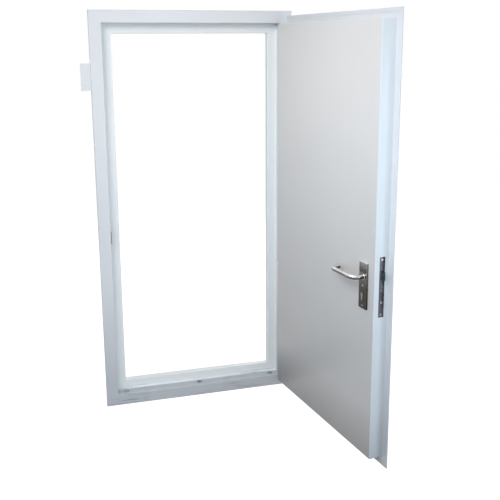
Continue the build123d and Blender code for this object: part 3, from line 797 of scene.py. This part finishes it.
# %% Weld the frame
frame_face_y = -0.0125
frame_side_x = 0.446
wing_edge_x = 0.417
knuckle_length = 0.050
hinge_heights = [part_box(side + "_hinge_thrust_washer")[0].z for side in hinge_sides]


def wing_outline(outer_x, wing_x, y, foot_z, head_z):
    """The three free edges of a hinge wing, from its outer end round and back."""
    return [(outer_x, y, foot_z), (wing_x, y, foot_z), (wing_x, y, head_z), (outer_x, y, head_z)]


def box_outline(x, y_from, y_to, z_from, z_to):
    """A closed rectangle on a wall that faces along X."""
    return [(x, y_from, z_from), (x, y_to, z_from), (x, y_to, z_to), (x, y_from, z_to),
            (x, y_from, z_from)]


frame_welds = [
    wing_outline(frame_side_x - MM, wing_edge_x, frame_face_y, washer_z - knuckle_length, washer_z)
    for washer_z in hinge_heights
]
lug_low, lug_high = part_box("fixing_lug")
frame_welds.append([
    (lug_high.x, lug_high.y, lug_low.z + MM),
    (lug_high.x, lug_high.y, lug_high.z - MM),
])
for keep in ("latch_keep_box", "dead_bolt_keep_box"):
    box_low, box_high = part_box(keep)
    frame_welds.append(box_outline(box_high.x, box_low.y, box_high.y, box_low.z, box_high.z))
grow("frame_weld_beads", weld_curve("frame_welds", frame_welds),
     weld_tree("frame_weld", frame_enamel), bead, "frame")

# %% [markdown]
# On the leaf, the wings lie on the outer skin. Each knuckle stands on its washer with a
# little play, so that is where its wing begins.

# %% Weld the leaf
skin_y = -0.0175
leaf_wing_x = 0.360
leaf_flange_x = 0.412
hinge_play = 0.0003
washer_thickness = 0.002
leaf_welds = []
for washer_z in hinge_heights:
    foot_z = washer_z + washer_thickness + hinge_play
    path = wing_outline(leaf_flange_x, leaf_wing_x, skin_y, foot_z, foot_z + knuckle_length)
    leaf_welds.append([open_leaf @ Vector(place) for place in path])
grow("leaf_weld_beads", weld_curve("leaf_welds", leaf_welds),
     weld_tree("leaf_weld", skin_enamel), bead, "leaf")

# %% [markdown]
# ## Floor and backdrop
#
# The door stands on a plain white floor. To the camera, and in metal, the floor and
# the world glow a little, so that they come out white. All other rays meet a grey floor
# and a dim sky, which is why no light from below washes out the foot of the door.
# The floor still takes a real shadow, since part of its white is reflected light.

# %% Lay the floor
def seen_directly(tree):
    """1 for rays from the camera and for rays in metal or glass, and 0 for all others."""
    ray = tree.nodes.new("ShaderNodeLightPath").outputs
    in_metal = arithmetic(tree, "MAXIMUM", ray["Is Glossy Ray"], ray["Is Transmission Ray"])
    return arithmetic(tree, "MAXIMUM", ray["Is Camera Ray"], in_metal)


floor_size = 60
floor_height = low.z
floor_glow = 0.85
floor_for_light = grey(0.36)
floor_for_camera = grey(0.60)
bpy.ops.mesh.primitive_plane_add(size=floor_size, location=(0, 0, floor_height))
floor = bpy.context.object
floor.name = "studio_floor"
studio_white, tree, shader = new_finish("studio_white")
seen = seen_directly(tree)
floor_tone = blend_colours(tree, seen, floor_for_light, floor_for_camera)
tree.links.new(floor_tone, shader.inputs["Base Color"])
tree.links.new(product(tree, seen, floor_glow), shader.inputs["Emission Strength"])
shader.inputs["Emission Color"].default_value = (1, 1, 1, 1)
shader.inputs["Roughness"].default_value = 1
shader.inputs["Specular IOR Level"].default_value = 0
floor.data.materials.append(studio_white)
print("floor at", floor_height)

# %% Hang the backdrop
world = bpy.data.worlds.new("studio_world")
bpy.context.scene.world = world
world.use_nodes = True
sky = world.node_tree
dim_sky = sky.nodes["Background"]
dim_sky.inputs["Color"].default_value = (0.96, 0.98, 1.0, 1)
dim_sky.inputs["Strength"].default_value = 0.30
white_sky = sky.nodes.new("ShaderNodeBackground")
white_sky.inputs["Color"].default_value = (1, 1, 1, 1)
choice = sky.nodes.new("ShaderNodeMixShader")
sky.links.new(seen_directly(sky), choice.inputs["Fac"])
sky.links.new(dim_sky.outputs["Background"], choice.inputs[1])
sky.links.new(white_sky.outputs["Background"], choice.inputs[2])
sky.links.new(choice.outputs["Shader"], sky.nodes["World Output"].inputs["Surface"])
print("dim sky strength:", round(dim_sky.inputs["Strength"].default_value, 2))

# %% [markdown]
# ## Light
#
# Six soft lamps light the door. Five stand in front of it: three on the left for the
# hall and the leaf, a cool one on the right, and a fill low in front. The last stands
# behind the door, so that the outer skin and the hinges are not lost in the dark.
# A lamp with a narrow spread lights one place and leaves what is beside it alone.

# %% Light the studio
def soft_lamp(name, place, target, size, power, colour, spread=None):
    """A plain area lamp that looks at a point; a spread in degrees narrows its beam."""
    lamp = bpy.data.lights.new(name, "AREA")
    lamp.shape = "RECTANGLE"
    lamp.size, lamp.size_y = size
    lamp.energy = power
    lamp.color = colour
    if spread:
        lamp.spread = math.radians(spread)
    holder = bpy.data.objects.new(name, lamp)
    bpy.context.scene.collection.objects.link(holder)
    holder.location = place
    aim = Vector(target) - Vector(place)
    holder.rotation_euler = aim.to_track_quat("-Z", "Y").to_euler()
    holder.visible_camera = False
    return holder


lamps = [
    soft_lamp("hall_light", place=(-1.2, -2.8, 2.6), target=(0.0, -0.2, 1.3),
              size=(1.8, 1.2), power=42, colour=(1.0, 0.985, 0.965)),
    soft_lamp("leaf_light", place=(-0.8, -1.2, 2.2), target=(0.55, -0.5, 1.1),
              size=(1.0, 0.8), power=4.7, colour=(0.99, 0.97, 0.955), spread=100),
    soft_lamp("window_light", place=(-0.7, -2.2, 1.0), target=(0.3, -0.9, 0.9),
              size=(0.8, 0.8), power=1.2, colour=(0.60, 0.80, 1.0), spread=70),
    soft_lamp("cool_light", place=(2.0, -2.8, 0.7), target=(0.5, -0.6, 0.6),
              size=(1.2, 1.6), power=23, colour=(0.68, 0.86, 1.0)),
    soft_lamp("low_fill", place=(0.4, -3.4, 0.8), target=(-0.2, 0.0, 1.5),
              size=(1.6, 0.8), power=13, colour=(1.0, 0.98, 0.99)),
    soft_lamp("back_light", place=(2.2, 2.4, 1.8), target=(0.3, 0.0, 0.9),
              size=(1.8, 1.8), power=60, colour=(1.0, 0.99, 0.98)),
]
bpy.context.scene.view_settings.view_transform = "Standard"
print("lamps:", len(lamps))
